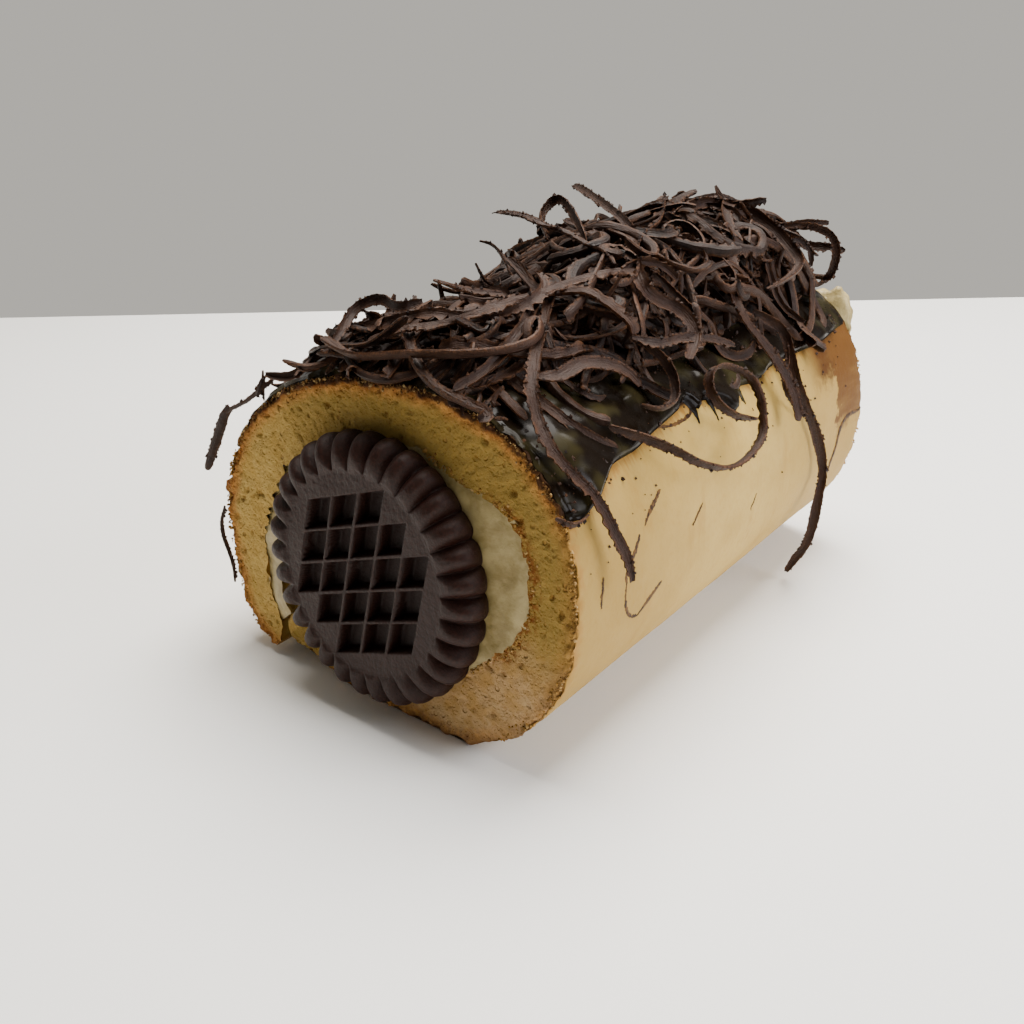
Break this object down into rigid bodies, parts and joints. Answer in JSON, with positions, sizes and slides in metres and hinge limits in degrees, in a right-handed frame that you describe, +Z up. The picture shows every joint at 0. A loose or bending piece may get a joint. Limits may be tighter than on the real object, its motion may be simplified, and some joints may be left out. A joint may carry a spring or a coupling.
{
  "type": "swiss roll cake",
  "caption": "Rolled sponge cake with a cream spiral, a fluted chocolate biscuit on its cut end, and a glazed top heaped with curled chocolate shavings.",
  "frame": {"origin": "on the board, under the middle of the roll, on the flat that the roll rests on", "axes": "+Y along the roll, from the end with the biscuit to the plain cut end; +Z up; +X to the right when the biscuit is looked at"},
  "size_m": [0.0923, 0.1338, 0.0856],
  "materials": {
    "sponge": "pale baked skin, porous yellow crumb at the cut ends",
    "cream": "soft satin cream",
    "biscuit": "matte dark cocoa biscuit",
    "chocolate": "matte dark chocolate shavings",
    "glaze": "poured chocolate glaze, glossy"
  },
  "bodies": {
    "root": {"sponge": "sponge", "cream": "cream", "biscuit": "biscuit", "shavings": "chocolate"}
  },
  "joints": []
}
